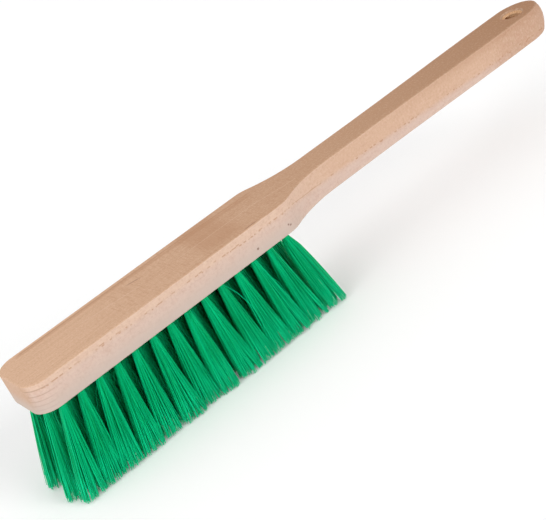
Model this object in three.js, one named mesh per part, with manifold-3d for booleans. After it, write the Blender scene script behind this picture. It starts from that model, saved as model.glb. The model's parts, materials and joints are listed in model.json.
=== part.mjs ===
// Car snow brush: a one-piece beech plank, drilled for tufts of plastic bristle.
// Each tuft is folded round a flat wire anchor that bites into the walls of its hole.
// Millimetres. x runs from the brush front to the handle end, z = 0 is the trimmed bristle tips.
import * as THREE from "three";
import { mergeVertices } from "three/addons/utils/BufferGeometryUtils.js";
import Module from "manifold-3d";

const wasm = await Module();
wasm.setup();

// Plank: block, shoulder, neck and grip
const plankThickness = 20;
const edgeRadius = 0.6;
const blockWidth = 52;
const blockLength = 191;
const frontCornerRadius = 13.5;
const shoulderRadius = 20;
const shoulderHollowRadius = 79;
const neckWidth = 26.8;
const neckLength = 42;
const flareLength = 132;
const gripWidth = 30.8;
const gripLength = 18.8;
const endLength = 24.5;
const endCrown = 3.8;

// Hang hole, countersunk on both faces
const hangHoleDiameter = 12;
const countersinkWidth = 2.6;
const countersinkDepth = 2.6;
const hangHoleFromEnd = 23.4;

// Tuft holes: five staggered rows, the second and fourth set half a pitch ahead of the others
const tuftsPerRow = 14;
const frontTuftFromEnd = 8.2;
const lastTuftFromShoulder = 2.6;
const outerRowFromEdge = 6;
const tuftHoleDiameter = 5.6;
const drillPointDepth = 1.2;
const woodAboveHoles = 5.8;

// Bristles
const bristleLength = 60;
const strandsRound = 4;
const strandSides = 3;
const strandRootSide = 1.1;
const strandTipSide = 3.2;
const strandGap = 0.1;
const tuftTipRadius = 5.2;
const uprightFromEnd = 100;
const fanLengthways = 0.11;
const fanSideways = 0.22;

// Slice of the block that the strands of a row are fused to
const sliceWidth = 3;
const sliceThickness = 1.6;

// Flat wire anchors
const anchorBite = 0.9;
const anchorThickness = 0.5;
const anchorHeight = 2;
const foldThickness = 1;

// Fits and smoothness
const clearance = 0.3;
const overlap = 0.6;
const cutMargin = 1;
const mergeTolerance = 1e-4;
const cornerSteps = 6;
const edgeSteps = 2;
const crownSteps = 4;
const boreSides = 24;
const tuftHoleSides = 8;
const tuftSides = 5;

const undersideZ = bristleLength;
const topZ = undersideZ + plankThickness;
const shoulderDrop = (blockWidth - neckWidth) / 2;
const shoulderAngle = Math.acos(1 - shoulderDrop / (shoulderRadius + shoulderHollowRadius));
const neckStart = blockLength + (shoulderRadius + shoulderHollowRadius) * Math.sin(shoulderAngle);
const flareStart = neckStart + neckLength;
const gripStart = flareStart + flareLength;
const endStart = gripStart + gripLength;
const handleEnd = endStart + endLength;

// Tufts and anchors, with depths above the block's underside
const tuftPitch = (blockLength - frontTuftFromEnd - lastTuftFromShoulder) / (tuftsPerRow - 0.5);
const rowSpacing = (blockWidth - 2 * outerRowFromEdge) / 4;
const tuftHoleDepth = plankThickness - woodAboveHoles - drillPointDepth;
const tuftTop = tuftHoleDepth - clearance;
const tuftRadius = tuftHoleDiameter / 2 - clearance;
const anchorLength = tuftHoleDiameter + 2 * anchorBite;
const anchorFoot = tuftTop - foldThickness - clearance - anchorHeight;
const anchorZ = undersideZ + anchorFoot + anchorHeight / 2;
const sliceZ = undersideZ + anchorFoot / 2;
const strandRootRadius = strandRootSide + strandGap;
const strandCorner = 1 / (2 * Math.sin(Math.PI / strandSides));

const beech = new THREE.MeshStandardMaterial({ color: 0xd6b092, roughness: 0.62, metalness: 0 });
const greenBristle = new THREE.MeshStandardMaterial({ color: 0x04a86c, roughness: 0.42, metalness: 0 });
const anchorWire = new THREE.MeshStandardMaterial({ color: 0xa9adb2, roughness: 0.35, metalness: 1 });

// A closed geometry as a solid that can be joined and cut.
function solidOf(geometry) {
  const bare = geometry.clone();
  bare.deleteAttribute("normal");
  bare.deleteAttribute("uv");
  const merged = mergeVertices(bare, mergeTolerance);
  return new wasm.Manifold(
    new wasm.Mesh({
      numProp: 3,
      vertProperties: merged.attributes.position.array,
      triVerts: new Uint32Array(merged.index.array),
    }),
  );
}

function geometryOf(solid) {
  const mesh = solid.getMesh();
  const geometry = new THREE.BufferGeometry();
  geometry.setAttribute("position", new THREE.BufferAttribute(mesh.vertProperties, 3));
  geometry.setIndex(new THREE.BufferAttribute(mesh.triVerts, 1));
  geometry.computeVertexNormals();
  return geometry;
}

function meshed(positions, faces) {
  const geometry = new THREE.BufferGeometry();
  geometry.setAttribute("position", new THREE.Float32BufferAttribute(positions, 3));
  geometry.setIndex(faces);
  return geometry;
}

function joined(solids) {
  return solids.reduce((whole, next) => whole.add(next));
}

function box(lengthX, widthY, heightZ, x, y, z) {
  return solidOf(new THREE.BoxGeometry(lengthX, widthY, heightZ).translate(x, y, z));
}

// One side of the plank's plan, from the middle of its front to the tip of its handle,
// drawn inset from the edge and with the rounded end shortened by the crown.
function halfPlan(inset, endReach) {
  const half = blockWidth / 2 - inset;
  const neckHalf = neckWidth / 2 - inset;
  const gripHalf = gripWidth / 2 - inset;
  const cornerY = blockWidth / 2 - frontCornerRadius;
  const outline = new THREE.Path();
  outline.moveTo(inset, 0);
  outline.lineTo(inset, cornerY);
  outline.absarc(frontCornerRadius, cornerY, frontCornerRadius - inset, Math.PI, Math.PI / 2, true);
  outline.lineTo(blockLength, half);
  const outerY = blockWidth / 2 - shoulderRadius;
  const shoulderTo = Math.PI / 2 - shoulderAngle;
  outline.absarc(blockLength, outerY, shoulderRadius - inset, Math.PI / 2, shoulderTo, true);
  const hollowY = neckWidth / 2 + shoulderHollowRadius;
  const hollowFrom = 1.5 * Math.PI - shoulderAngle;
  outline.absarc(neckStart, hollowY, shoulderHollowRadius + inset, hollowFrom, 1.5 * Math.PI, false);
  outline.lineTo(flareStart, neckHalf);
  const ease = flareLength / 3;
  outline.bezierCurveTo(flareStart + ease, neckHalf, gripStart - ease, gripHalf, gripStart, gripHalf);
  outline.lineTo(endStart, gripHalf);
  outline.absellipse(endStart, 0, endReach - inset, gripHalf, Math.PI / 2, 0, true);
  return outline.getPoints(cornerSteps);
}

// The whole plan, running anticlockwise seen from above.
function plan(inset, endReach) {
  const side = halfPlan(inset, endReach);
  const mirrored = side
    .slice(1, -1)
    .reverse()
    .map((point) => new THREE.Vector2(point.x, -point.y));
  return side.concat(mirrored).reverse();
}

// Heights at which the plan is drawn: close together over the rounded edges.
function planLevels() {
  const lower = [];
  for (let step = 0; step <= edgeSteps; step += 1) {
    const turn = (step / edgeSteps) * (Math.PI / 2);
    const height = edgeRadius * (1 - Math.cos(turn));
    const inset = edgeRadius * (1 - Math.sin(turn));
    lower.push({ height, inset });
  }
  const upper = lower.map(({ height, inset }) => ({ height: plankThickness - height, inset })).reverse();
  const straight = plankThickness - 2 * edgeRadius;
  const middle = [];
  for (let step = 1; step < crownSteps; step += 1) {
    middle.push({ height: edgeRadius + (straight * step) / crownSteps, inset: 0 });
  }
  return [...lower, ...middle, ...upper];
}

// The bare plank, lofted through its plans. The handle's end is crowned from top to bottom.
function plankSolid() {
  const rings = planLevels().map(({ height, inset }) => {
    const fromMiddle = (2 * height) / plankThickness - 1;
    const endReach = endLength - endCrown * fromMiddle ** 2;
    return { points: plan(inset, endReach), z: undersideZ + height };
  });
  const count = rings[0].points.length;
  const positions = rings.flatMap(({ points, z }) => points.flatMap((point) => [point.x, point.y, z]));
  const faces = [];
  for (let ring = 0; ring + 1 < rings.length; ring += 1) {
    for (let i = 0; i < count; i += 1) {
      const next = (i + 1) % count;
      const a = ring * count + i;
      const b = ring * count + next;
      faces.push(a, b, b + count, a, b + count, a + count);
    }
  }
  const top = (rings.length - 1) * count;
  for (const [a, b, c] of THREE.ShapeUtils.triangulateShape(rings[0].points, [])) {
    faces.push(a, c, b);
    faces.push(top + a, top + b, top + c);
  }
  return solidOf(meshed(positions, faces));
}

// A revolved solid about a vertical line through (x, y); the profile gives radius and height.
function revolved(profile, sides, x, y) {
  const points = profile.map(([radius, height]) => new THREE.Vector2(radius, height));
  const geometry = new THREE.LatheGeometry(points, sides);
  return solidOf(geometry.rotateX(Math.PI / 2).translate(x, y, 0));
}

function hangHole() {
  const bore = hangHoleDiameter / 2;
  const mouth = bore + (countersinkWidth / countersinkDepth) * (countersinkDepth + cutMargin);
  const profile = [
    [0, undersideZ - cutMargin],
    [mouth, undersideZ - cutMargin],
    [bore, undersideZ + countersinkDepth],
    [bore, topZ - countersinkDepth],
    [mouth, topZ + cutMargin],
    [0, topZ + cutMargin],
  ];
  return revolved(profile, boreSides, handleEnd - hangHoleFromEnd, 0);
}

// Rows of tufts, named for where they stand on the block.
function rowOf(y, behind) {
  const places = [];
  for (let i = 0; i < tuftsPerRow; i += 1) {
    places.push({ x: frontTuftFromEnd + behind + i * tuftPitch, y });
  }
  return places;
}

const tuftRows = {
  near_outer: rowOf(-2 * rowSpacing, tuftPitch / 2),
  near_inner: rowOf(-rowSpacing, 0),
  middle: rowOf(0, tuftPitch / 2),
  far_inner: rowOf(rowSpacing, 0),
  far_outer: rowOf(2 * rowSpacing, tuftPitch / 2),
};

// Rows whose anchors are separate pieces. There are nodes enough for four rows of them.
const anchoredRows = ["near_outer", "near_inner", "far_inner", "far_outer"];

function tuftHole({ x, y }) {
  const radius = tuftHoleDiameter / 2;
  const profile = [
    [0, undersideZ - cutMargin],
    [radius, undersideZ - cutMargin],
    [radius, undersideZ + tuftHoleDepth],
    [0, undersideZ + tuftHoleDepth + drillPointDepth],
  ];
  return revolved(profile, tuftHoleSides, x, y);
}

// Space for an anchor, which the wood and the fold of the tuft both close round.
function anchorSlot({ x, y }) {
  const room = 2 * clearance;
  return box(anchorLength + room, anchorThickness + room, anchorHeight + room, x, y, anchorZ);
}

// The slice along a row, or the space for it, from its first tuft to its last.
function rowSlice(places, room) {
  const first = places[0];
  const last = places[places.length - 1];
  const length = last.x - first.x + 2 * room;
  const middle = (first.x + last.x) / 2;
  return box(length, sliceWidth + 2 * room, sliceThickness + 2 * room, middle, first.y, sliceZ);
}

// The slice across the three inner rows, which ties them into one piece.
function crossSlice(room) {
  const { x } = tuftRows.middle[0];
  return box(sliceWidth + 2 * room, 2 * rowSpacing, sliceThickness + 2 * room, x, 0, sliceZ);
}

function woodenBody() {
  const cuts = [hangHole(), crossSlice(clearance)];
  for (const places of Object.values(tuftRows)) {
    cuts.push(rowSlice(places, clearance));
    for (const place of places) {
      cuts.push(tuftHole(place), anchorSlot(place));
    }
  }
  return plankSolid().subtract(joined(cuts));
}

// A straight bar between two level ends, each with as many corners as the bar has sides,
// the first of them turned to the heading.
function levelEndedBar(lower, upper, sides, heading) {
  const positions = [];
  for (const { x, y, z, radius } of [lower, upper]) {
    for (let i = 0; i < sides; i += 1) {
      const turn = heading + (2 * Math.PI * i) / sides;
      positions.push(x + radius * Math.cos(turn), y + radius * Math.sin(turn), z);
    }
  }
  const faces = [];
  for (let i = 0; i < sides; i += 1) {
    const next = (i + 1) % sides;
    faces.push(i, next, sides + next, i, sides + next, sides + i);
  }
  for (let i = 1; i + 1 < sides; i += 1) {
    faces.push(0, i + 1, i);
    faces.push(sides, sides + i, sides + i + 1);
  }
  return solidOf(meshed(positions, faces));
}

// One strand, thicker towards its trimmed tip, with its root let into the packed tuft.
function strand(root, tip, heading) {
  const lower = { ...tip, z: 0, radius: strandTipSide * strandCorner };
  const upper = { ...root, z: undersideZ + overlap, radius: strandRootSide * strandCorner };
  return levelEndedBar(lower, upper, strandSides, heading);
}

// Where a tuft's middle ends: the brush fans out from the roots to the trimmed tips.
function fanned({ x, y }) {
  return { x: x + (x - uprightFromEnd) * fanLengthways, y: y * (1 + fanSideways) };
}

// A tuft: its strands packed solid in the hole, folded over an anchor, and fanned below.
// The anchor is a piece of its own in a slot, or else in one piece with the tuft.
function tuft(place, ownAnchor) {
  const outwards = ((Math.sign(place.y) || 1) * Math.PI) / 2;
  const mouth = { ...place, z: undersideZ, radius: tuftRadius };
  const packed = levelEndedBar(mouth, { ...mouth, z: undersideZ + tuftTop }, tuftSides, outwards);
  const tipMiddle = fanned(place);
  const strands = [strand(place, tipMiddle, outwards)];
  for (let i = 0; i < strandsRound; i += 1) {
    const turn = (2 * Math.PI * i) / strandsRound;
    const outX = Math.cos(turn);
    const outY = Math.sin(turn);
    const root = { x: place.x + strandRootRadius * outX, y: place.y + strandRootRadius * outY };
    const tip = { x: tipMiddle.x + tuftTipRadius * outX, y: tipMiddle.y + tuftTipRadius * outY };
    strands.push(strand(root, tip, outwards));
  }
  const folded = ownAnchor ? packed.subtract(anchorSlot(place)) : packed.add(anchor(place));
  return joined([folded, ...strands]);
}

function bristles(rows, ties) {
  const solids = rows.flatMap((row) => {
    const places = tuftRows[row];
    const ownAnchors = anchoredRows.includes(row);
    return [rowSlice(places, 0), ...places.map((place) => tuft(place, ownAnchors))];
  });
  return joined([...solids, ...ties]);
}

function anchor(place) {
  return box(anchorLength, anchorThickness, anchorHeight, place.x, place.y, anchorZ);
}

const brush = new THREE.Group();

function addPiece(name, solid, material) {
  const piece = new THREE.Mesh(geometryOf(solid), material);
  piece.name = name;
  brush.add(piece);
}

addPiece("wooden_body", woodenBody(), beech);
addPiece("near_bristle_row", bristles(["near_outer"], []), greenBristle);
const innerRows = ["near_inner", "middle", "far_inner"];
addPiece("inner_bristle_rows", bristles(innerRows, [crossSlice(0)]), greenBristle);
addPiece("far_bristle_row", bristles(["far_outer"], []), greenBristle);
for (const row of anchoredRows) {
  tuftRows[row].forEach((place, i) => addPiece(`anchor_${row}_${i + 1}`, anchor(place), anchorWire));
}

// The part's origin is under the middle of its length, level with the bristle tips.
const reach = new THREE.Box3().setFromObject(brush);
brush.position.x = -(reach.min.x + reach.max.x) / 2;
const part = new THREE.Group();
part.add(brush);

export default part;
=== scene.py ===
"""Dresses the packed snow brush: planed beech, folded tufts of green filament, wire anchors and a studio."""

import json
import math

import bmesh
import bpy
import numpy as np
from bpy.props import FloatProperty, FloatVectorProperty, IntProperty, PointerProperty
from bpy.types import NodeSocket, Operator, Panel, PropertyGroup
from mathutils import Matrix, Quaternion, Vector, noise
from mathutils.geometry import delaunay_2d_cdt


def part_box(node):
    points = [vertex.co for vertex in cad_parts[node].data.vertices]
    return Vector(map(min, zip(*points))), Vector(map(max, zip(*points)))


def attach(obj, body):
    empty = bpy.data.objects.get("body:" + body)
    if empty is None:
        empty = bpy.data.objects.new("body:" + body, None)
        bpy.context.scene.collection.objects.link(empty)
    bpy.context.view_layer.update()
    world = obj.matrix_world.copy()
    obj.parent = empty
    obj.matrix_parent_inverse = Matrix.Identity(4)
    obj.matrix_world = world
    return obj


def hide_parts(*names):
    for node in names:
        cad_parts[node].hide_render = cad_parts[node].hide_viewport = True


bl_info = {
    "name": "Snow Brush",
    "version": (1, 0, 0),
    "blender": (4, 5, 0),
    "location": "3D View > Sidebar > Snow Brush",
    "description": "Builds the looks of a wooden snow brush around its packed frame",
    "category": "Object",
}

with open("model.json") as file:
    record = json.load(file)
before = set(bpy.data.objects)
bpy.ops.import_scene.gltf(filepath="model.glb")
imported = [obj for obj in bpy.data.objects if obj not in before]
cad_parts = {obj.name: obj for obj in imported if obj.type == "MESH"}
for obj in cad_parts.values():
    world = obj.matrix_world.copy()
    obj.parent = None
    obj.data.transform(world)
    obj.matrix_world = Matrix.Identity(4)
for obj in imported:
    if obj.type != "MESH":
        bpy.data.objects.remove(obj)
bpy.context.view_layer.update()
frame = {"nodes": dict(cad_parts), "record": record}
PLANK_LOW, PLANK_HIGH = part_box("wooden_body")
HANG_HOLE_LOW, HANG_HOLE_HIGH = (Vector(p) for p in frame["record"]["physics"]["openings"][0]["box_m"])
HANG_HOLE_X = (HANG_HOLE_LOW.x + HANG_HOLE_HIGH.x) / 2
ROWS = ("near_outer", "near_inner", "middle", "far_inner", "far_outer")
MM = 0.001


def tuft_places(row):
    """Middles of the anchors of one row, from the front of the block to the shoulder."""
    if row == "middle":
        return [Vector((place.x, 0.0, place.z)) for place in tuft_places("near_outer")]
    nodes = sorted(n for n in frame["nodes"] if n.startswith(f"anchor_{row}_"))
    middles = [(low + high) / 2 for low, high in map(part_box, nodes)]
    return sorted(middles, key=lambda middle: middle.x)


OUTER_ROW = abs(tuft_places("near_outer")[0].y)


# Sizes and colours

def length(name, millimetres, description):
    settings = {"min": 0.0, "precision": 5, "subtype": "DISTANCE", "unit": "LENGTH"}
    return FloatProperty(name=name, description=description, default=millimetres * MM, **settings)


def share(name, default, description):
    return FloatProperty(name=name, description=description, default=default, precision=3)


def angle(name, degrees, description):
    settings = {"subtype": "ANGLE", "unit": "ROTATION"}
    return FloatProperty(name=name, description=description, default=math.radians(degrees), **settings)


def colour(name, red, green, blue, description):
    settings = {"size": 3, "min": 0.0, "max": 1.0, "subtype": "COLOR"}
    return FloatVectorProperty(name=name, description=description, default=(red, green, blue), **settings)


class PlankSizes(PropertyGroup):
    block_length: length("Block Length", 191, "Front of the block to the start of its shoulders")
    front_corner: length("Front Corner", 13.5, "Radius of the block's front corners")
    shoulder: length("Shoulder", 20, "Radius where the block turns in")
    shoulder_hollow: length("Shoulder Hollow", 79, "Radius of the hollow that runs into the neck")
    neck_width: length("Neck Width", 26.8, "Width of the handle behind the shoulders")
    neck_length: length("Neck Length", 42, "Length of the handle's even stretch")
    flare_length: length("Flare Length", 132, "Length over which the handle widens")
    grip_width: length("Grip Width", 30.8, "Width of the handle before its rounded end")
    end_length: length("End Length", 24.5, "Length of the rounded end")
    end_crown: length("End Crown", 3.8, "How far the rounded end bulges at half its height")
    edge_radius: length("Edge Radius", 0.6, "Radius that sanding leaves on the long edges")
    hang_hole: length("Hang Hole", 12, "Diameter of the hang hole")
    countersink_width: length("Countersink Width", 2.6, "Width of the hang hole's countersink")
    countersink_depth: length("Countersink Depth", 2.6, "Depth of the hang hole's countersink")
    tear_depth: length("Tear Depth", 0.35, "Roughness that the drill leaves in the hang hole")
    tuft_hole: length("Tuft Hole", 5.6, "Diameter of the holes that the tufts are set in")
    tuft_hole_depth: length("Tuft Hole Depth", 13, "Depth of the tuft holes to the drill's point")
    drill_point: length("Drill Point", 1.2, "Depth of the drill's point")


class TuftSizes(PropertyGroup):
    seed: IntProperty(name="Seed", description="Start of the scatter of the filaments", default=7)
    loops: IntProperty(name="Loops", description="Folded filaments in a tuft", default=66, min=4)
    clumps: IntProperty(name="Clumps", description="Points that a tuft's tips gather to", default=18, min=1)
    filament: length("Filament", 0.45, "Diameter of a filament")
    packed_radius: length("Packed Radius", 1.85, "Radius of the packed filaments in a tuft hole")
    spread_lengthways: length("Spread Lengthways", 8.2, "Reach of a tuft's tips along the block")
    spread_across: length("Spread Across", 5.4, "Reach of a tuft's tips across the block")
    upright: length("Upright Tufts", 108, "Distance from the front to where the tufts stand upright")
    lean_lengthways: share("Lean Lengthways", 0.1, "Forward lean, per distance from the upright tufts")
    lean_back: share("Lean Back", 0.085, "Backward lean, per distance from the upright tufts")
    end_start: length("End Start", 178, "Distance of the last tufts, which open out sooner, from the front")
    end_opening: share("End Opening", 0.56, "Power of the height by which the last tufts open out")
    outer_lean: share("Outer Lean", 0.41, "How much further the outer rows lean along the block")
    lean_across: share("Lean Across", 0.28, "Lean across the block, per distance from its middle")
    lean_scatter: length("Lean Scatter", 0.8, "Scatter of the tufts' leans, at their tips")
    gathering: share("Gathering", 0.34, "How far the tips gather into their clumps")
    bow: length("Bow", 0.35, "Side bend of a filament")
    stray_bow: length("Stray Bow", 4.5, "Side bend of a filament that has sprung out of its tuft")
    strays: share("Strays", 0.012, "Share of the filaments that have sprung out of their tuft")
    ragged: length("Ragged", 1.2, "Scatter of the tips' heights")
    ragged_clumps: length("Ragged Clumps", 1.3, "Scatter of the heights of the clumps")


class Colours(PropertyGroup):
    beech_pale: colour("Pale Beech", 0.683, 0.506, 0.426, "Sides below the growth line")
    beech_middle: colour("Middle Beech", 0.735, 0.524, 0.404, "Sides of the block above the growth line")
    beech_warm: colour("Warm Beech", 0.67, 0.442, 0.314, "Sides of the handle above the growth line")
    # Painted shade that darkens the sides of the handle's rounded end
    beech_grip_shade: colour("Grip Beech", 0.568, 0.359, 0.25, "Sides of the handle's end")
    beech_top: colour("Top Beech", 0.69, 0.449, 0.303, "Upper face at the front of the block")
    # Painted shade that darkens the upper face towards the handle's end
    beech_top_shaded_end: colour("Top Beech End", 0.357, 0.192, 0.107, "Upper face at the handle's end")
    beech_end: colour("End Grain", 0.61, 0.395, 0.268, "Cut ends of the fibres")
    beech_streak: colour("Beech Streak", 0.42, 0.215, 0.115, "Darker lengthwise streaks")
    beech_blush: colour("Beech Blush", 0.58, 0.335, 0.24, "Reddish mottling of the sides")
    # Painted shade and painted green bounce light from the bristles on the block's lower edge
    beech_low_shade: colour("Low Beech", 0.585, 0.474, 0.412, "Lower edge of the block, greyer than the rest")
    beech_ring: colour("Growth Ring", 0.40, 0.235, 0.17, "Growth rings cut by the rounded corners")
    beech_fleck: colour("Beech Fleck", 0.43, 0.185, 0.085, "Short brown flecks along the growth line")
    beech_knot: colour("Pin Knot", 0.20, 0.095, 0.065, "Pin knots and dark marks")
    beech_torn: colour("Torn Beech", 0.50, 0.265, 0.125, "Deep wood in the drilled holes")
    beech_fibre: colour("Torn Fibre", 0.68, 0.43, 0.255, "Lifted fibres in the drilled holes")
    # Painted shade inside the holes, on the walls that face the handle's end
    beech_hole_shade: colour("Scorched Beech", 0.17, 0.055, 0.014, "Wood darkened by the drill")
    # This colour is also laid on the rounded edges and the countersink as a painted highlight
    beech_worn_and_highlight: colour("Worn Beech", 0.78, 0.60, 0.47, "Rubbed edges and scratches")
    bristle: colour("Bristle", 0.0, 0.45, 0.135, "Green of the deepest coloured filaments")
    bristle_light: colour("Light Bristle", 0.0, 0.59, 0.24, "Green of the palest filaments")
    # Painted light that keeps the filaments pale towards their tips
    bristle_tip_light: colour("Bristle Tip", 0.004, 0.75, 0.35, "Green of the frayed tips")
    bristle_gloss: colour("Bristle Gloss", 0.08, 0.9, 0.9, "Tint of the filaments' sheen")
    wire: colour("Anchor Wire", 0.55, 0.56, 0.58, "Flat steel wire")
    backdrop: colour("Backdrop", 0.9, 0.9, 0.9, "Floor of the studio")


class StageSettings(PropertyGroup):
    azimuth: angle("Azimuth", -25.28, "Turn of the camera round the brush")
    elevation: angle("Elevation", 24.81, "Height of the camera above the horizon")
    roll: angle("Roll", -26.05, "Roll of the camera")
    distance: length("Distance", 755.2, "Camera to its target")
    target_from_front: length("Target From Front", 146.6, "Front of the block to the camera's target")
    target_aside: length("Target Aside", 79.4, "Camera's target to the near side of the brush's middle")
    lens: FloatProperty(
        name="Lens",
        description="Focal length in millimetres",
        default=87.9,
        min=1.0,
        subtype="DISTANCE_CAMERA",
        unit="CAMERA",
    )
    sky: share("Sky", 0.18, "Brightness of the even light from all round")
    top_light: share("Top Light", 1.56, "Brightness of the soft light from above and behind")
    side_light: share("Side Light", 1.43, "Brightness of the soft light from the camera's right")
    end_light: share("End Light", 1.55, "Brightness of the soft light on the front end of the block")
    top_softness: angle("Top Softness", 110, "Angle that the light from above and behind fills")
    side_softness: angle("Side Softness", 34, "Angle that the light from the camera's right fills")
    end_softness: angle("End Softness", 60, "Angle that the light on the front end fills")
    floor_glow: share("Floor Glow", 0.12, "How much whiter the floor looks to the camera than its colour")


class SnowBrush(PropertyGroup):
    plank: PointerProperty(type=PlankSizes, name="Plank", description="Sizes of the wooden body")
    tufts: PointerProperty(type=TuftSizes, name="Tufts", description="Sizes of the bristles")
    colours: PointerProperty(type=Colours, name="Colours", description="Colours of the finishes")
    stage: PointerProperty(type=StageSettings, name="Stage", description="Camera and lights")


# Mesh building

# Steps along the curves of the plank, and levels of its sides and its bore
CORNER_STEPS = 16
SHOULDER_STEPS = 10
HOLLOW_STEPS = 16
FLARE_STEPS = 20
END_STEPS = 20
EDGE_STEPS = 4
SIDE_LEVELS = 7
BORE_LEVELS = 18

# Width of the worn strip beside a rounded edge, in edge radii, and the share of wear and painted highlight
# on the edge
RIM_WIDTH = 1.2
EDGE_WEAR_AND_HIGHLIGHT = 0.5

# Steps down the countersink, as shares of its depth, how many are planed, and how torn it is at the bore
COUNTERSINK_STEPS = (0.0, 0.08, 0.5, 1.0)
PLANED_STEPS = 2
COUNTERSINK_TEAR = 0.25

# Least angle in degrees at which an edge looks sharp
SHARP_EDGE = 40


def arc(middle_x, middle_y, reach_x, reach_y, start, end, steps):
    """Points on an ellipse from one angle to another."""
    turns = np.linspace(start, end, steps + 1)
    return np.stack([middle_x + reach_x * np.cos(turns), middle_y + reach_y * np.sin(turns)], axis=1)


def flare_curve(start, end, steps):
    """Points between two level ends, easing out of one width and into the other."""
    t = np.linspace(0.0, 1.0, steps + 1)
    eased = t * t * (3.0 - 2.0 * t)
    return np.stack([start[0] + (end[0] - start[0]) * t, start[1] + (end[1] - start[1]) * eased], axis=1)


def plank_outline(sizes, inset, end_reach):
    """The plank's plan as a loop of points, inset from its edge, with x from the front of the block."""
    half_block = (PLANK_HIGH.y - PLANK_LOW.y) / 2
    half_neck = sizes.neck_width / 2
    half_grip = sizes.grip_width / 2
    turn_radius = sizes.shoulder + sizes.shoulder_hollow
    turn = math.acos(1.0 - (half_block - half_neck) / turn_radius)
    neck_start = sizes.block_length + turn_radius * math.sin(turn)
    flare_start = neck_start + sizes.neck_length
    grip_start = flare_start + sizes.flare_length
    end_start = PLANK_HIGH.x - PLANK_LOW.x - sizes.end_length
    quarter = math.pi / 2
    corner_y = half_block - sizes.front_corner
    corner = sizes.front_corner - inset
    shoulder = sizes.shoulder - inset
    hollow = sizes.shoulder_hollow + inset
    shoulder_y = half_block - sizes.shoulder
    hollow_y = half_neck + sizes.shoulder_hollow
    far_side = np.concatenate([
        arc(sizes.front_corner, corner_y, corner, corner, math.pi, quarter, CORNER_STEPS),
        arc(sizes.block_length, shoulder_y, shoulder, shoulder, quarter, quarter - turn, SHOULDER_STEPS),
        arc(neck_start, hollow_y, hollow, hollow, 3 * quarter - turn, 3 * quarter, HOLLOW_STEPS)[1:],
        flare_curve((flare_start, half_neck - inset), (grip_start, half_grip - inset), FLARE_STEPS),
        arc(end_start, 0.0, end_reach - inset, half_grip - inset, quarter, 0.0, END_STEPS),
    ])
    near_side = far_side[-2::-1] * (1.0, -1.0)
    return np.concatenate([far_side, near_side])


def plank_levels(sizes, thickness):
    """Heights at which the outline is drawn, each with its inset and how much it belongs to an edge."""
    radius = sizes.edge_radius
    rim = RIM_WIDTH * radius
    lower = [(0.0, radius + rim, 0.0)]
    for turn in np.linspace(0.0, math.pi / 2, EDGE_STEPS + 1):
        lower.append((radius * (1.0 - math.cos(turn)), radius * (1.0 - math.sin(turn)), EDGE_WEAR_AND_HIGHLIGHT))
    lower.append((radius + rim, 0.0, 0.0))
    levels = np.linspace(radius + rim, thickness - radius - rim, SIDE_LEVELS)[1:-1]
    middle = [(height, 0.0, 0.0) for height in levels]
    upper = [(thickness - height, inset, edge) for height, inset, edge in reversed(lower)]
    return lower + middle + upper


class MeshParts:
    """Points, faces, materials and edge shares of a mesh while it is put together."""

    def __init__(self):
        self.points = []
        self.edges = []
        self.faces = []
        self.materials = []

    def ring(self, flat, height, edge=0.0):
        """Adds a loop of points at one height, or at heights of their own, and returns its indices."""
        first = len(self.points)
        heights = np.broadcast_to(height, len(flat))
        self.points += [(x, y, z) for (x, y), z in zip(flat, heights)]
        self.edges += [edge] * len(flat)
        return list(range(first, len(self.points)))

    def face(self, corners, material):
        self.faces.append(corners)
        self.materials.append(material)

    def bridge(self, ring, other, material):
        """Joins two loops of as many points by a band of faces."""
        count = len(ring)
        for i in range(count):
            j = (i + 1) % count
            self.face((ring[i], ring[j], other[j], other[i]), material)

    def cap(self, outer, holes, material):
        """Fills a flat face between its outer loop and its holes."""
        loops = [outer, *holes]
        corners = [i for loop in loops for i in loop]
        owner = [k for k, loop in enumerate(loops) for _ in loop]
        edges = []
        first = 0
        for loop in loops:
            count = len(loop)
            edges += [(first + i, first + (i + 1) % count) for i in range(count)]
            first += count
        flat = [Vector(self.points[i][:2]) for i in corners]
        inside_only = 1
        tolerance = 1e-9
        made = delaunay_2d_cdt(flat, edges, [], inside_only, tolerance)
        sources = [source[0] for source in made[3]]
        for triangle in made[2]:
            ends = [sources[i] for i in triangle]
            owners = {owner[i] for i in ends}
            if owners == {0} or len(owners) > 1:
                self.face(tuple(corners[i] for i in ends), material)

    def build(self, name, materials):
        """The finished mesh as a piece, with its faces turned outwards."""
        mesh = bpy.data.meshes.new(name)
        mesh.from_pydata(self.points, [], self.faces)
        mesh.polygons.foreach_set("material_index", self.materials)
        wear = mesh.attributes.new("edge", "FLOAT", "POINT")
        wear.data.foreach_set("value", self.edges)
        shaped = bmesh.new()
        shaped.from_mesh(mesh)
        bmesh.ops.recalc_face_normals(shaped, faces=shaped.faces)
        shaped.to_mesh(mesh)
        shaped.free()
        mesh.shade_smooth()
        mesh.set_sharp_from_angle(angle=math.radians(SHARP_EDGE))
        for material in materials:
            mesh.materials.append(material)
        return show(name, mesh)


def show(name, data):
    piece = bpy.data.objects.new(name, data)
    bpy.context.scene.collection.objects.link(piece)
    return piece


def circle(middle, radius, sides):
    turns = np.linspace(0.0, 2.0 * math.pi, sides, endpoint=False)
    radii = np.broadcast_to(radius, sides)
    return np.stack([middle[0] + radii * np.cos(turns), middle[1] + radii * np.sin(turns)], axis=1)


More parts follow.
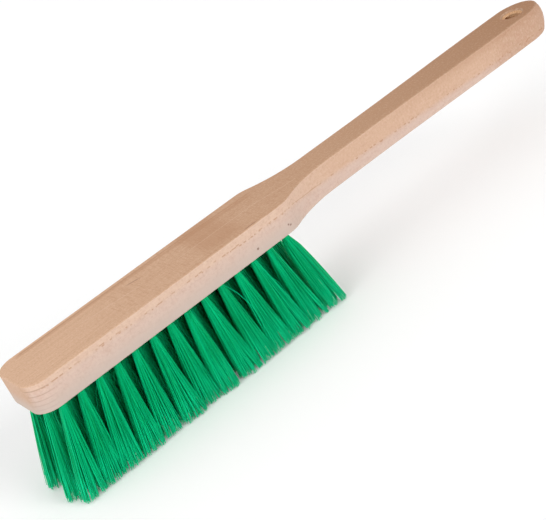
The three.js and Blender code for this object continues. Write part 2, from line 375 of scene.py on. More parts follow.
def torn_radius(radius, height, tear, sides):
    """A drilled radius with torn fibres, roughest where the drill meets the grain end on."""
    rise = 4 * MM
    coarse_scale = 2.2
    fine_scale = 3.1
    fine_share = 0.6
    along_grain = 0.45
    radii = []
    for turn in np.linspace(0.0, 2.0 * math.pi, sides, endpoint=False):
        place = Vector((math.cos(turn), math.sin(turn), height / rise)) * coarse_scale
        rough = along_grain + (1.0 - along_grain) * abs(math.cos(turn))
        torn = noise.noise(place) + fine_share * noise.noise(place * fine_scale)
        radii.append(radius + tear * rough * torn)
    return np.array(radii)


def hang_hole_rings(parts, sizes):
    """Rings of the countersunk, torn bore, from the top face to the underside."""
    sides = 64
    middle = (HANG_HOLE_X, 0.0)
    bore = sizes.hang_hole / 2
    upper = []
    for t in COUNTERSINK_STEPS:
        radius = bore + sizes.countersink_width * (1.0 - t)
        upper.append((radius, PLANK_HIGH.z - sizes.countersink_depth * t, COUNTERSINK_TEAR * t))
    low = PLANK_LOW.z + sizes.countersink_depth
    high = PLANK_HIGH.z - sizes.countersink_depth
    walls = [(bore, z, 1.0) for z in np.linspace(high, low, BORE_LEVELS)[1:-1]]
    lower = [(radius, PLANK_LOW.z + PLANK_HIGH.z - z, tear) for radius, z, tear in reversed(upper)]
    made = []
    for radius, z, tear in upper + walls + lower:
        radii = torn_radius(radius, z, tear * sizes.tear_depth, sides)
        # Rings below the rim take the full edge share, giving the countersink the worn colour and a painted
        # highlight
        made.append(parts.ring(circle(middle, radii, sides), z, float(tear > 0.0)))
    return made


def tuft_hole_rings(parts, sizes, place):
    """Rim and bottom of one drilled tuft hole, and its drill point."""
    sides = 20
    rim = parts.ring(circle(place, sizes.tuft_hole / 2, sides), PLANK_LOW.z)
    depth = PLANK_LOW.z + sizes.tuft_hole_depth
    bottom = parts.ring(circle(place, sizes.tuft_hole / 2, sides), depth)
    point = parts.ring([place[:2]], depth + sizes.drill_point)[0]
    return rim, bottom, point


def plank_mesh(sizes, materials):
    """The one-piece wooden body, with its sanded edges, hang hole and drilled tuft holes."""
    planed, torn = 0, 1
    parts = MeshParts()
    thickness = PLANK_HIGH.z - PLANK_LOW.z
    rings = []
    for height, inset, edge in plank_levels(sizes, thickness):
        from_middle = 2.0 * height / thickness - 1.0
        end_reach = sizes.end_length - sizes.end_crown * from_middle ** 2
        outline = plank_outline(sizes, inset, end_reach) + (PLANK_LOW.x, 0.0)
        rings.append(parts.ring(outline, PLANK_LOW.z + height, edge))
    for ring, other in zip(rings, rings[1:]):
        parts.bridge(ring, other, planed)
    bore = hang_hole_rings(parts, sizes)
    for i, (ring, other) in enumerate(zip(bore, bore[1:])):
        deep = PLANED_STEPS <= i < len(bore) - 1 - PLANED_STEPS
        parts.bridge(ring, other, torn if deep else planed)
    parts.cap(rings[-1], [bore[0]], planed)
    rims = [bore[-1]]
    for place in [p for row in ROWS for p in tuft_places(row)]:
        rim, bottom, point = tuft_hole_rings(parts, sizes, place)
        rims.append(rim)
        parts.bridge(rim, bottom, torn)
        for i, corner in enumerate(bottom):
            parts.face((corner, bottom[(i + 1) % len(bottom)], point), torn)
    parts.cap(rings[0], rims, planed)
    return parts.build("wooden_body_finish", materials)


# Tufts

# Turn from one filament to the next, the gap at the anchor and the scatter of the tips, as shares
GOLDEN_TURN = 0.618034
ANCHOR_GAP = 0.12
AIM_SCATTER = 0.06

# Points along a strand, and the shape of its fold over the anchor
STRAND_STATIONS = 6
FOLD_DROP = 2.0 * MM
FOLD_CLEARANCE = 0.4 * MM
FOLD_CROWN = 0.35


def half_disc(count, random):
    """Places of the folded filaments on one side of the anchor, spread evenly, within a unit circle."""
    steps = np.arange(count)
    reach = np.sqrt((steps + 0.5) / count)
    turn = math.pi * ((steps * GOLDEN_TURN + random.random()) % 1.0)
    aside = ANCHOR_GAP + (1.0 - ANCHOR_GAP) * reach * np.sin(turn)
    return np.stack([reach * np.cos(turn), aside], axis=1)


def evened(places):
    """Moves places in a unit circle lengthways, so that they are as dense at its ends as in its middle."""
    along = np.clip(places[:, 0], -1.0, 1.0)
    even = (along * np.sqrt(1.0 - along ** 2) + np.arcsin(along)) * 2.0 / math.pi
    return np.stack([even, places[:, 1]], axis=1)


def strand_paths(place, roots, sizes, random):
    """Centre lines of a tuft's strands from the hole's mouth to the tips, as strands by stations by xyz."""
    count = len(roots)
    from_front = place.x - PLANK_LOW.x
    outward = 1.0 + sizes.outer_lean * (place.y / OUTER_ROW) ** 2
    steep = sizes.lean_lengthways if from_front < sizes.upright else sizes.lean_back
    lengthways = (from_front - sizes.upright) * steep * outward
    lean = np.array([lengthways, place.y * sizes.lean_across])
    lean += random.normal(0.0, sizes.lean_scatter, 2)
    opening = sizes.end_opening if from_front > sizes.end_start else 1.0
    spread = np.array([sizes.spread_lengthways, sizes.spread_across])
    clumps = random.uniform(-1.0, 1.0, (sizes.clumps, 2))
    aim = evened(roots) + random.normal(0.0, AIM_SCATTER, (count, 2))
    clump = np.argmin(np.linalg.norm(aim[:, None] - clumps[None], axis=2), axis=1)
    gathered = aim + (clumps[clump] - aim) * sizes.gathering
    stray = random.random(count) < sizes.strays
    bow = random.normal(0.0, 1.0, (count, 2)) * np.where(stray, sizes.stray_bow, sizes.bow)[:, None]
    short = np.abs(random.normal(0.0, sizes.ragged, count))
    short += random.uniform(0.0, sizes.ragged_clumps, sizes.clumps)[clump]

    t = np.linspace(0.0, 1.0, STRAND_STATIONS)[None, :, None]
    middle = np.array([place.x, place.y]) + lean * t
    packed = roots[:, None, :] * sizes.packed_radius * (1.0 - t)
    fan = spread * t ** opening * (aim[:, None, :] + (gathered - aim)[:, None, :] * t ** 3)
    flat = middle + packed + fan + bow[:, None, :] * 4.0 * t * (1.0 - t)
    heights = PLANK_LOW.z * (1.0 - t) + short[:, None, None] * t
    return np.concatenate([flat, heights], axis=2)


def loop_paths(place, anchor_top, sizes, random):
    """Centre lines of a tuft's filaments, each folded over the anchor from one tip to the other."""
    side = half_disc(sizes.loops, random)
    other = side * (1.0, -1.0)
    strands = strand_paths(place, np.concatenate([side, other]), sizes, random)
    going, coming = strands[:sizes.loops], strands[sizes.loops:]
    fold_foot = anchor_top - FOLD_DROP
    rise = FOLD_CLEARANCE + FOLD_CROWN * side[:, 1] * sizes.packed_radius
    up = going[:, 0] * (1.0, 1.0, 0.0) + (0.0, 0.0, fold_foot)
    down = coming[:, 0] * (1.0, 1.0, 0.0) + (0.0, 0.0, fold_foot)
    crest = (up + down) / 2
    crest[:, 2] = anchor_top + rise
    fold = np.stack([up, crest, down], axis=1)
    return np.concatenate([going[:, ::-1], fold, coming], axis=1)


def filament_mesh(name, paths, diameter, material):
    """One mesh of round filaments along the given centre lines."""
    sides = 4
    count, stations, _ = paths.shape
    along = np.gradient(paths, axis=1)
    along /= np.linalg.norm(along, axis=2, keepdims=True)
    across = np.cross(along, np.array([1.0, 0.0, 0.0]))
    across /= np.linalg.norm(across, axis=2, keepdims=True)
    upright = np.cross(across, along)
    turns = np.linspace(0.0, 2.0 * math.pi, sides, endpoint=False)
    spokes = np.cos(turns)[:, None] * across[:, :, None] + np.sin(turns)[:, None] * upright[:, :, None]
    points = (paths[:, :, None] + spokes * diameter / 2).reshape(-1, 3)
    index = np.arange(count * stations * sides).reshape(count, stations, sides)
    turned = np.roll(index, -1, axis=2)
    walls = np.stack([index[:, :-1], turned[:, :-1], turned[:, 1:], index[:, 1:]], axis=-1).reshape(-1, 4)
    ends = np.concatenate([index[:, 0, ::-1], index[:, -1]])
    mesh = bpy.data.meshes.new(name)
    mesh.from_pydata(points.tolist(), [], walls.tolist() + ends.tolist())
    mesh.shade_smooth()
    mesh.materials.append(material)
    return show(name, mesh)


# Shader building

def add(tree, kind, links=None, **settings):
    """A new node with its settings, and with its inputs set to values or joined to sockets."""
    node = tree.nodes.new(kind)
    for key, value in settings.items():
        setattr(node, key, value)
    for name, value in (links or {}).items():
        if isinstance(value, NodeSocket):
            tree.links.new(value, node.inputs[name])
        else:
            node.inputs[name].default_value = value
    return node


def calculate(tree, operation, first, second=0.0, third=0.0):
    return add(tree, "ShaderNodeMath", {0: first, 1: second, 2: third}, operation=operation).outputs[0]


def minus(tree, first, second):
    return calculate(tree, "SUBTRACT", first, second)


def linear(tree, value, slope, offset):
    """A value times a slope, plus an offset."""
    return calculate(tree, "MULTIPLY_ADD", value, slope, offset)


def both(tree, first, second):
    """A mask of where two masks overlap."""
    return calculate(tree, "MULTIPLY", first, second)


def ease(tree, value, low, high):
    """0 at one value and 1 at the other, with a smooth step between."""
    links = {"Value": value, "From Min": low, "From Max": high}
    return add(tree, "ShaderNodeMapRange", links, interpolation_type="SMOOTHSTEP").outputs[0]


def span(tree, value, start, end, fade):
    """1 between two values and 0 outside them, with soft ends."""
    rising = ease(tree, value, start - fade, start)
    falling = ease(tree, value, end, end + fade)
    return minus(tree, rising, falling)


def near(tree, value, reach, fade):
    """1 where a value is near zero, and 0 further off."""
    away = ease(tree, calculate(tree, "ABSOLUTE", value), reach, reach + fade)
    return minus(tree, 1.0, away)


def axes_of(tree, vector):
    return add(tree, "ShaderNodeSeparateXYZ", {0: vector}).outputs


def facing_axes(tree):
    """The direction that the surface faces, along each axis."""
    return axes_of(tree, add(tree, "ShaderNodeTexCoord").outputs["Normal"])


def brush_point(tree):
    """The shaded point in millimetres, from the front of the block's underside."""
    place = add(tree, "ShaderNodeTexCoord").outputs["Object"]
    front = (PLANK_LOW.x, 0.0, PLANK_LOW.z)
    moved = add(tree, "ShaderNodeVectorMath", {0: place, 1: front}, operation="SUBTRACT").outputs[0]
    links = {0: moved, 1: (1.0 / MM,) * 3}
    return add(tree, "ShaderNodeVectorMath", links, operation="MULTIPLY").outputs[0]


def stretched_noise(tree, point, scale, detail=2.0, roughness=0.5):
    """Noise over a point in millimetres, with its own scale along each axis."""
    scaled = add(tree, "ShaderNodeVectorMath", {0: point, 1: scale}, operation="MULTIPLY")
    links = {"Vector": scaled.outputs[0], "Scale": 1.0, "Detail": detail, "Roughness": roughness}
    return add(tree, "ShaderNodeTexNoise", links).outputs["Fac"]


def bump(tree, height, strength, distance):
    links = {"Height": height, "Strength": strength, "Distance": distance}
    return add(tree, "ShaderNodeBump", links).outputs["Normal"]


def opaque(rgb):
    return (*rgb, 1.0)


def blend(tree, factor, first, second):
    """Mixes two colours."""
    return add(tree, "ShaderNodeMix", {0: factor, 6: first, 7: second}, data_type="RGBA").outputs[2]


def layered(tree, base, *layers):
    """The base colour with others laid over it in turn, each with its mask and its strength."""
    for mask, strength, rgb in layers:
        base = blend(tree, calculate(tree, "MULTIPLY", mask, strength), base, opaque(rgb))
    return base


def seen_by_camera(tree):
    """1 for what the camera sees, also in a reflection or through glass, and 0 for other light."""
    path = add(tree, "ShaderNodeLightPath").outputs
    seen = calculate(tree, "MAXIMUM", path["Is Camera Ray"], path["Is Glossy Ray"])
    return calculate(tree, "MAXIMUM", seen, path["Is Transmission Ray"])


def new_group(name, inputs, outputs):
    """An empty shader node group, with the sockets of its input node and of its output node."""
    group = bpy.data.node_groups.new(name, "ShaderNodeTree")
    for direction, sockets in (("INPUT", inputs), ("OUTPUT", outputs)):
        for socket, kind in sockets.items():
            group.interface.new_socket(socket, in_out=direction, socket_type=kind)
    return group, group.nodes.new("NodeGroupInput").outputs, group.nodes.new("NodeGroupOutput").inputs


def new_material(name, rgb):
    """A material with only its Principled shader, its node tree and that shader."""
    material = bpy.data.materials.new(name)
    material.use_nodes = True
    material.diffuse_color = opaque(rgb)
    tree = material.node_tree
    return material, tree, tree.nodes["Principled BSDF"]


def dress_shader(tree, shader, base, rough, normal):
    """Joins a material's colour, roughness and relief to its shader."""
    for name, value in (("Base Color", base), ("Roughness", rough), ("Normal", normal)):
        tree.links.new(value, shader.inputs[name])


# Grain and marks of the beech

# Places are in millimetres: along from the front of the block, aside of its middle, up from its underside.
# A stretch is its start, its end and the length over which both fade.
# A stroke is its start, its end, its place aside at the front and its slope.
# A set of flecks is its number to a millimetre and its drop below the growth line.
SHOULDERS = (185.0, 215.0)
NECK = (185.0, 260.0)
HANDLE_START = 248.0
GRIP = (375.0, 425.0)
HANDLE_END = 440.0
GRAIN_WANDER = 2.4
FLECK_STRETCHES = ((24.0, 206.0, 20.0), (150.0, 206.0, 20.0), (262.0, 425.0, 14.0))
FLECK_THREAD = (207.0, 226.0, 6.0)
FLECK_SETS = ((0.17, 0.0), (0.31, 0.35))
PIN_KNOTS = ((192.0, 5.8), (193.4, 4.6), (166.0, 5.1))
FRONT_RINGS = (0.9, 9.0, 7.0)
RIPPLES = (95.0, 215.0, 50.0)
DARK_BAND = (146.0, 160.0, 14.0)
DARK_BAND_ASIDE = (-16.0, 22.0, 9.0)
FAR_BANDS = ((18.0, 98.0, 21.4, -0.01), (92.0, 192.0, 26.0, -0.065))
EDGE_LINES = ((20.0, 128.0, 23.0, -0.017), (128.0, 194.0, 28.7, -0.0615))
SCRATCHES = ((130.0, 190.0, 0.7, -0.0135), (192.0, 216.0, 33.6, -0.19), (58.0, 95.0, 15.0, -0.16))
DARK_MARKS = ((96.5, 99.5, 38.7, -0.285), (167.0, 171.0, -24.3, 0.0))
STROKE_FADE = 5.0


def growth_line(tree, axes, wander):
    """Depth of the line between two growth layers: near the top of the block, deeper along the handle."""
    at_front = 3.5
    slope = 0.011
    slope_inward = 0.36
    slope_on_handle = 0.022
    waviness = 0.3
    line = linear(tree, axes["X"], slope, at_front)
    inward = minus(tree, PLANK_HIGH.y / MM, calculate(tree, "ABSOLUTE", axes["Y"]))
    inward = calculate(tree, "MULTIPLY", inward, ease(tree, axes["X"], *SHOULDERS))
    line = linear(tree, inward, slope_inward, line)
    handle = calculate(tree, "MAXIMUM", minus(tree, axes["X"], HANDLE_START), 0.0)
    line = linear(tree, handle, slope_on_handle, line)
    return linear(tree, wander, waviness, line)


def growth_rings(tree, below):
    """Thin rings below the growth line, closer together and fainter with depth."""
    ring_pitch = 4.3
    crowding = 0.02
    fading = -0.045
    closer = linear(tree, below, crowding, 1.0)
    count = calculate(tree, "MULTIPLY", calculate(tree, "DIVIDE", below, ring_pitch), closer)
    away = calculate(tree, "PINGPONG", count, 0.5)
    rings = minus(tree, 1.0, ease(tree, away, 0.03, 0.15))
    rings = both(tree, rings, ease(tree, below, -1.2, -0.5))
    return both(tree, rings, linear(tree, below, fading, 1.0))


def line_flecks(tree, point, axes, below):
    """Short dashes along the growth line, crowded in places, and one thin line behind the shoulders."""
    clusters = stretched_noise(tree, point, (0.06, 0.0, 0.0), 2.0, 0.6)
    crowding = linear(tree, clusters, 4.0, -2.0)
    for stretch in FLECK_STRETCHES:
        crowding = calculate(tree, "ADD", crowding, span(tree, axes["X"], *stretch))
    thread = both(tree, near(tree, below, 0.05, 0.3), span(tree, axes["X"], *FLECK_THREAD))
    flecks = calculate(tree, "MULTIPLY", thread, 0.9)
    for per_mm, drop in FLECK_SETS:
        links = {"W": axes["X"], "Scale": per_mm, "Randomness": 1.0}
        cells = add(tree, "ShaderNodeTexVoronoi", links, voronoi_dimensions="1D").outputs
        chance = add(tree, "ShaderNodeSeparateColor", {0: cells["Color"]}).outputs
        reach = linear(tree, chance["Red"], 0.32, 0.1)
        past = minus(tree, cells["Distance"], reach)
        dash = minus(tree, 1.0, ease(tree, past, -0.06, 0.06))
        aside = linear(tree, chance["Green"], 1.1, drop - 0.55)
        line = near(tree, minus(tree, below, aside), 0.08, 0.6)
        kept = ease(tree, linear(tree, crowding, 0.3, chance["Blue"]), 0.6, 1.2)
        flecks = calculate(tree, "MAXIMUM", flecks, both(tree, both(tree, dash, line), kept))
    return flecks


def beech_grain_group():
    """Streaks, growth layers, flecks, mottling and relief of beech whose grain runs along the brush."""
    inputs = {"Point": "NodeSocketVector", "Wander": "NodeSocketFloat"}
    outputs = ("Streaks", "Mottle", "Speckles", "Below Line", "Rings", "Flecks", "Relief")
    tree, given, out = new_group("Beech Grain", inputs, dict.fromkeys(outputs, "NodeSocketFloat"))
    point = given["Point"]
    axes = axes_of(tree, point)
    thickness = (PLANK_HIGH.z - PLANK_LOW.z) / MM
    depth = minus(tree, thickness, axes["Z"])
    wander = minus(tree, stretched_noise(tree, point, (0.018, 0.05, 0.05), 1.0), 0.5)
    wander = calculate(tree, "MULTIPLY", wander, given["Wander"])
    sideways = calculate(tree, "ADD", axes["Y"], wander)
    wavy = add(tree, "ShaderNodeCombineXYZ", {0: axes["X"], 1: sideways, 2: depth}).outputs[0]
    streaks = stretched_noise(tree, wavy, (0.012, 1.1, 1.1), 4.0, 0.68)
    pores = stretched_noise(tree, wavy, (0.35, 2.6, 2.6), 2.0, 0.6)
    below = minus(tree, depth, growth_line(tree, axes, wander))
    made = {
        "Streaks": streaks,
        "Mottle": stretched_noise(tree, wavy, (0.16, 0.42, 0.42), 4.0, 0.68),
        "Speckles": stretched_noise(tree, point, (0.75, 0.6, 0.6), 3.0, 0.7),
        "Below Line": below,
        "Rings": growth_rings(tree, below),
        "Flecks": line_flecks(tree, point, axes, below),
        "Relief": linear(tree, pores, 0.5, streaks),
    }
    for name, value in made.items():
        tree.links.new(value, out[name])
    return tree


def place_grain(tree, grain_group, point):
    """Places the grain in a material, and returns what it puts out."""
    links = {"Point": point, "Wander": GRAIN_WANDER}
    return add(tree, "ShaderNodeGroup", links, node_tree=grain_group).outputs


def pin_knots(tree, point, axes):
    """Mask of the pin knots low on the near side of the block."""
    mask = None
    blur = stretched_noise(tree, point, (0.9, 0.9, 0.9), 2.0, 0.6)
    for from_front, height in PIN_KNOTS:
        along = calculate(tree, "MULTIPLY", minus(tree, axes["X"], from_front), 0.8)
        above = minus(tree, axes["Z"], height)
        away = add(tree, "ShaderNodeCombineXYZ", {0: along, 1: above}).outputs[0]
        reach = add(tree, "ShaderNodeVectorMath", {0: away}, operation="LENGTH").outputs["Value"]
        knot = near(tree, linear(tree, blur, 1.6, reach), 0.95, 0.8)
        mask = knot if mask is None else calculate(tree, "MAXIMUM", mask, knot)
    return both(tree, mask, ease(tree, axes["Y"], -20.0, -24.0))


def strokes(tree, axes, places, width, fade):
    """Mask of straight thin strokes on the upper face."""
    mask = None
    for start, end, aside, slope in places:
        middle = linear(tree, axes["X"], slope, aside)
        line = near(tree, minus(tree, axes["Y"], middle), width, fade)
        line = both(tree, line, span(tree, axes["X"], start, end, STROKE_FADE))
        mask = line if mask is None else calculate(tree, "MAXIMUM", mask, line)
    return mask


def speckle_masks(tree, grain):
    """Masks of the darker and of the paler speckles."""
    return ease(tree, grain["Speckles"], 0.48, 0.72), ease(tree, grain["Speckles"], 0.5, 0.3)


def side_wood(tree, colours, grain, point, end_on):
    """Planed sides: pale below the growth line, warmer above it, blushed at the handle's end, with painted
    shade at the handle's rounded end and low on the block.
    """
    axes = axes_of(tree, point)
    along, up = axes["X"], axes["Z"]
    handle = ease(tree, along, *NECK)
    grip = ease(tree, along, *GRIP)
    fine = ease(tree, grip, -2.0, 1.0)
    blush = both(tree, ease(tree, grain["Mottle"], 0.46, 0.64), ease(tree, grip, -0.9, 1.0))
    dark, pale = speckle_masks(tree, grain)
    # Painted shade and green bounce light, low on the block's sides
    painted_low_shade = both(tree, ease(tree, up, 13.0, 1.0), ease(tree, along, *reversed(SHOULDERS)))
    handle_edge = both(tree, ease(tree, up, 12.0, 19.5), ease(tree, along, 270.0, 390.0))
    corner = both(tree, span(tree, along, *FRONT_RINGS), ease(tree, along, 0.1, 0.9))
    base = blend(tree, handle, opaque(colours.beech_middle), opaque(colours.beech_warm))
    return layered(
        tree,
        base,
        (ease(tree, grain["Below Line"], -1.5, 3.0), 1.0, colours.beech_pale),
        (end_on, 0.8, colours.beech_end),
        # Painted shade on the handle's rounded end
        (grip, 0.9, colours.beech_grip_shade),
        (ease(tree, grain["Streaks"], 0.42, 0.75), 0.1, colours.beech_streak),
        (blush, 0.42, colours.beech_blush),
        (both(tree, dark, fine), 0.3, colours.beech_streak),
        (both(tree, pale, fine), 0.35, colours.beech_worn_and_highlight),
        (painted_low_shade, 0.9, colours.beech_low_shade),
        (handle_edge, 0.34, colours.beech_streak),
        (both(tree, grain["Rings"], corner), 0.5, colours.beech_ring),
        (both(tree, grain["Flecks"], ease(tree, up, 0.5, 2.5)), 0.55, colours.beech_fleck),
        (pin_knots(tree, point, axes), 0.75, colours.beech_knot),
    )


def upper_wood(tree, colours, grain, point, ripple):
    """Planed upper face: darker towards the handle's end by painted shade, rippled by the planer, streaked
    and scratched.
    """
    axes = axes_of(tree, point)
    along, aside = axes["X"], axes["Y"]
    # Painted shade, growing from the front of the block to the handle's end
    links = {"Value": along, "From Min": 0.0, "From Max": HANDLE_END}
    deeper = add(tree, "ShaderNodeMapRange", links).outputs[0]
    dark, pale = speckle_masks(tree, grain)
    rippled = both(tree, ease(tree, ripple, 0.45, 0.7), span(tree, along, *RIPPLES))
    dark_band = both(tree, span(tree, along, *DARK_BAND), span(tree, aside, *DARK_BAND_ASIDE))
    near_edge = both(tree, ease(tree, aside, -20.0, -26.0), ease(tree, along, 70.0, 160.0))
    base = blend(tree, deeper, opaque(colours.beech_top), opaque(colours.beech_top_shaded_end))
    return layered(
        tree,
        base,
        (ease(tree, grain["Streaks"], 0.42, 0.64), 0.26, colours.beech_streak),
        (ease(tree, grain["Mottle"], 0.5, 0.75), 0.1, colours.beech_streak),
        (dark, 0.3, colours.beech_streak),
        (pale, 0.24, colours.beech_worn_and_highlight),
        (rippled, 0.28, colours.beech_streak),
        (dark_band, 0.4, colours.beech_streak),
        (strokes(tree, axes, FAR_BANDS, 0.9, 1.9), 0.34, colours.beech_streak),
        (strokes(tree, axes, EDGE_LINES, 0.35, 0.8), 0.5, colours.beech_streak),
        (near_edge, 0.16, colours.beech_streak),
        (strokes(tree, axes, SCRATCHES, 0.1, 0.25), 0.36, colours.beech_worn_and_highlight),
        (strokes(tree, axes, DARK_MARKS, 0.2, 0.7), 0.5, colours.beech_knot),
    )


# Materials

def planed_beech(colours, grain_group):
    """Bare planed wood, with its own tones and painted shade on the sides and the upper face, worn along its
    edges and lit there by a painted highlight.
    """
    material, tree, shader = new_material("Planed Beech", colours.beech_top)
    point = brush_point(tree)
    grain = place_grain(tree, grain_group, point)
    facing = facing_axes(tree)
    end_on = ease(tree, calculate(tree, "ABSOLUTE", facing["X"]), 0.78, 1.0)
    upward = ease(tree, facing["Z"], 0.15, 0.6)
    ripple = stretched_noise(tree, point, (0.8, 0.11, 0.11), 2.0, 0.6)
    side = side_wood(tree, colours, grain, point, end_on)
    upper = upper_wood(tree, colours, grain, point, ripple)
    edge = add(tree, "ShaderNodeAttribute", attribute_name="edge").outputs["Fac"]
    # Worn edges with a painted highlight, broken up by the mottle
    worn_and_highlit = both(tree, edge, ease(tree, grain["Mottle"], 0.3, 0.6))
    base = layered(tree, blend(tree, upward, side, upper), (worn_and_highlit, 0.3, colours.beech_worn_and_highlight))
    rough = linear(tree, grain["Streaks"], 0.2, 0.6)
    relief = linear(tree, ripple, 0.6, grain["Relief"])
    dress_shader(tree, shader, base, rough, bump(tree, relief, 0.25, 0.1 * MM))
    shader.inputs["Specular IOR Level"].default_value = 0.1
    return material


def torn_beech(colours, grain_group):
    """Rough wood in the drilled holes, with pale lifted fibres and painted shade on the walls that face the
    handle's end.
    """
    material, tree, shader = new_material("Torn Beech", colours.beech_torn)
    point = brush_point(tree)
    grain = place_grain(tree, grain_group, point)
    facing = facing_axes(tree)
    tufted = stretched_noise(tree, point, (0.8, 1.6, 1.6), 4.0, 0.65)
    # Painted shade on the walls that face the handle's end, broken up by the noise
    painted_hole_shade = ease(tree, linear(tree, tufted, -1.2, facing["X"]), -1.3, -0.45)
    upright = ease(tree, calculate(tree, "ABSOLUTE", facing["Z"]), 0.55, 0.2)
    lifted = ease(tree, tufted, 0.38, 0.58)
    base = layered(
        tree,
        blend(tree, lifted, opaque(colours.beech_torn), opaque(colours.beech_fibre)),
        (grain["Streaks"], 0.25, colours.beech_torn),
        (both(tree, painted_hole_shade, upright), 0.9, colours.beech_hole_shade),
    )
    rough = linear(tree, tufted, 0.2, 0.75)
    dress_shader(tree, shader, base, rough, bump(tree, tufted, 0.8, 0.4 * MM))
    shader.inputs["Specular IOR Level"].default_value = 0.2
    return material


def green_filament(colours):
    """Drawn plastic filament: each one a slightly different green, paler at its tips by painted light, with
    a satin sheen.
    """
    material, tree, shader = new_material("Green Filament", colours.bristle)
    point = brush_point(tree)
    each = add(tree, "ShaderNodeNewGeometry").outputs["Random Per Island"]
    base = blend(tree, each, opaque(colours.bristle), opaque(colours.bristle_light))
    # Painted light towards the tips
    painted_tip_light = ease(tree, axes_of(tree, point)["Z"], -28.0, -62.0)
    base = layered(tree, base, (painted_tip_light, 0.9, colours.bristle_tip_light))
    smear = stretched_noise(tree, point, (0.9, 0.9, 0.06), 2.0, 0.5)
    rough = linear(tree, smear, 0.25, 0.35)
    dress_shader(tree, shader, base, rough, bump(tree, smear, 0.2, 0.05 * MM))
    shader.inputs["Specular IOR Level"].default_value = 0.5
    shader.inputs["Specular Tint"].default_value = opaque(colours.bristle_gloss)
    return material


def anchor_wire(colours):
    """Drawn and cut flat steel wire, scored along its length."""
    material, tree, shader = new_material("Anchor Wire", colours.wire)
    scored = stretched_noise(tree, brush_point(tree), (0.3, 9.0, 9.0), 3.0, 0.6)
    base = blend(tree, scored, opaque([0.6 * part for part in colours.wire]), opaque(colours.wire))
    rough = linear(tree, scored, 0.3, 0.2)
    dress_shader(tree, shader, base, rough, bump(tree, scored, 0.3, 0.1 * MM))
    shader.inputs["Metallic"].default_value = 1.0
    return material


def studio_floor(colours, glow):
    """White floor that keeps the shadow, looks white to the camera and isn't there from below."""
    material, tree, shader = new_material("Studio Floor", colours.backdrop)
    shader.inputs["Base Color"].default_value = opaque(colours.backdrop)
    shader.inputs["Roughness"].default_value = 0.9
    shader.inputs["Specular IOR Level"].default_value = 0.0
    shader.inputs["Emission Color"].default_value = (1.0, 1.0, 1.0, 1.0)
    glowing = calculate(tree, "MULTIPLY", seen_by_camera(tree), glow)
    tree.links.new(glowing, shader.inputs["Emission Strength"])
    clear = tree.nodes.new("ShaderNodeBsdfTransparent")
    behind = add(tree, "ShaderNodeNewGeometry").outputs["Backfacing"]
    mixed = add(tree, "ShaderNodeMixShader", {0: behind, 1: shader.outputs[0], 2: clear.outputs[0]})
    tree.links.new(mixed.outputs[0], tree.nodes["Material Output"].inputs["Surface"])
    return material


# Middle anchors and stage

# Directions that the lights come from, and half the floor's width
TOP_LIGHT_FROM = (-0.15, 0.2, 1.0)
SIDE_LIGHT_FROM = (0.4, -0.85, 0.43)
END_LIGHT_FROM = (-0.92, -0.26, 0.3)
FLOOR_REACH = 6.0


def middle_anchors(wire):
    """The middle row's anchors, as the outer row's moved to the middle of the block."""
    shaped = bmesh.new()
    for name, node in frame["nodes"].items():
        if name.startswith("anchor_near_outer_"):
            shaped.from_mesh(node.data)
    aside = tuft_places("near_outer")[0].y
    bmesh.ops.translate(shaped, vec=(0.0, -aside, 0.0), verts=shaped.verts)
    mesh = bpy.data.meshes.new("anchor_middle_row")
    shaped.to_mesh(mesh)
    shaped.free()
    mesh.materials.append(wire)
    return show("anchor_middle_row", mesh)


def lay_floor(colours, glow):
    """A wide plain floor under the tips of the bristles."""
    corners = [(x * FLOOR_REACH, y * FLOOR_REACH, 0.0) for x, y in ((-1, -1), (1, -1), (1, 1), (-1, 1))]
    mesh = bpy.data.meshes.new("studio_floor")
    mesh.from_pydata(corners, [], [(0, 1, 2, 3)])
    mesh.materials.append(studio_floor(colours, glow))
    show("studio_floor", mesh)


def light_world(scene, brightness):
    """Even white light, and plain white where the camera or a reflection sees past the floor."""
    world = bpy.data.worlds.new("Studio")
    world.use_nodes = True
    tree = world.node_tree
    links = {"Value": seen_by_camera(tree), "To Min": brightness, "To Max": 1.0}
    strength = add(tree, "ShaderNodeMapRange", links).outputs[0]
    background = tree.nodes["Background"]
    background.inputs["Color"].default_value = (1.0, 1.0, 1.0, 1.0)
    tree.links.new(strength, background.inputs["Strength"])
    scene.world = world


def hang_sun(name, towards, strength, softness):
    """A soft even light that shines from the given direction."""
    light = bpy.data.lights.new(name, "SUN")
    light.energy = strength
    light.angle = softness
    lamp = show(name, light)
    lamp.rotation_mode = "QUATERNION"
    lamp.rotation_quaternion = Vector(towards).to_track_quat("Z", "Y")


def aim_camera(stage):
    """A camera that looks at its target from the set distance, turned, raised and rolled."""
    lens = bpy.data.cameras.new("Camera")
    lens.lens = stage.lens
    lens.sensor_width = 36.0
    lens.clip_start = 0.01
    camera = show("Camera", lens)
    level = math.cos(stage.elevation)
    sideways = math.sin(stage.azimuth) * level
    backward = -math.cos(stage.azimuth) * level
    back = Vector((sideways, backward, math.sin(stage.elevation)))
    target = Vector((PLANK_LOW.x + stage.target_from_front, -stage.target_aside, PLANK_HIGH.z))
    camera.location = target + back * stage.distance
    camera.rotation_mode = "QUATERNION"
    camera.rotation_quaternion = back.to_track_quat("Z", "Y") @ Quaternion((0.0, 0.0, 1.0), stage.roll)
    return camera


# Operators

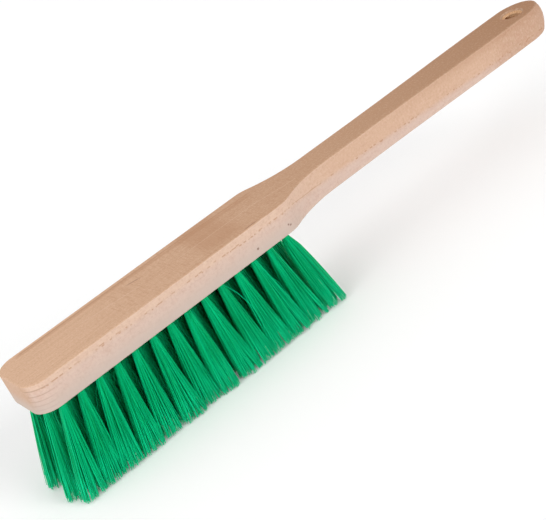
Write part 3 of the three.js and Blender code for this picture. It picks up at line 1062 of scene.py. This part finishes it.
class BRUSH_OT_wooden_body(Operator):
    """Build the planed beech body with its hang hole and drilled tuft holes"""

    bl_idname = "snow_brush.wooden_body"
    bl_label = "Wooden Body"

    def execute(self, context):
        settings = context.scene.snow_brush
        grain = beech_grain_group()
        woods = [planed_beech(settings.colours, grain), torn_beech(settings.colours, grain)]
        piece = plank_mesh(settings.plank, woods)
        flat_faces = piece.modifiers.new("Flat Faces", "WEIGHTED_NORMAL")
        flat_faces.keep_sharp = True
        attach(piece, "root")
        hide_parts("wooden_body")
        return {"FINISHED"}


class BRUSH_OT_tufts(Operator):
    """Build the folded filaments of every tuft, in the groups of rows that the frame has"""

    bl_idname = "snow_brush.tufts"
    bl_label = "Tufts"

    def execute(self, context):
        settings = context.scene.snow_brush
        sizes = settings.tufts
        material = green_filament(settings.colours)
        groups = {
            "near_bristle_row": ["near_outer"],
            "inner_bristle_rows": ["near_inner", "middle", "far_inner"],
            "far_bristle_row": ["far_outer"],
        }
        random = np.random.default_rng(sizes.seed)
        anchor_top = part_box("anchor_near_outer_1")[1].z
        for node, rows in groups.items():
            places = [place for row in rows for place in tuft_places(row)]
            paths = [loop_paths(place, anchor_top, sizes, random) for place in places]
            piece = filament_mesh(f"{node}_filaments", np.concatenate(paths), sizes.filament, material)
            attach(piece, "root")
            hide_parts(node)
        return {"FINISHED"}


class BRUSH_OT_anchors(Operator):
    """Give every flat wire anchor its steel, and make those of the middle row"""

    bl_idname = "snow_brush.anchors"
    bl_label = "Anchors"

    def execute(self, context):
        wire = anchor_wire(context.scene.snow_brush.colours)
        for name, node in frame["nodes"].items():
            if name.startswith("anchor_"):
                node.material_slots[0].material = wire
        piece = middle_anchors(wire)
        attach(piece, "root")
        return {"FINISHED"}


class BRUSH_OT_stage(Operator):
    """Set out the floor, the soft lights and the camera"""

    bl_idname = "snow_brush.stage"
    bl_label = "Stage"

    def execute(self, context):
        settings = context.scene.snow_brush
        stage = settings.stage
        lay_floor(settings.colours, stage.floor_glow)
        light_world(context.scene, stage.sky)
        hang_sun("Top Light", TOP_LIGHT_FROM, stage.top_light, stage.top_softness)
        hang_sun("Side Light", SIDE_LIGHT_FROM, stage.side_light, stage.side_softness)
        hang_sun("End Light", END_LIGHT_FROM, stage.end_light, stage.end_softness)
        context.scene.camera = aim_camera(stage)
        context.scene.view_settings.view_transform = "Standard"
        return {"FINISHED"}


class BRUSH_PT_panel(Panel):
    bl_idname = "BRUSH_PT_panel"
    bl_label = "Snow Brush"
    bl_space_type = "VIEW_3D"
    bl_region_type = "UI"
    bl_category = "Snow Brush"

    def draw(self, context):
        layout = self.layout
        for step in STEPS:
            layout.operator(step.bl_idname)
        settings = context.scene.snow_brush
        for group in (settings.plank, settings.tufts, settings.colours, settings.stage):
            box = layout.box()
            for name in group.__annotations__:
                box.prop(group, name)


STEPS = (BRUSH_OT_wooden_body, BRUSH_OT_tufts, BRUSH_OT_anchors, BRUSH_OT_stage)
CLASSES = (PlankSizes, TuftSizes, Colours, StageSettings, SnowBrush, *STEPS, BRUSH_PT_panel)


def register():
    for item in CLASSES:
        bpy.utils.register_class(item)
    bpy.types.Scene.snow_brush = PointerProperty(type=SnowBrush)


def unregister():
    del bpy.types.Scene.snow_brush
    for item in reversed(CLASSES):
        bpy.utils.unregister_class(item)


def main():
    register()
    bpy.ops.snow_brush.wooden_body()
    bpy.ops.snow_brush.tufts()
    bpy.ops.snow_brush.anchors()
    bpy.ops.snow_brush.stage()


if __name__ == "__main__":
    main()
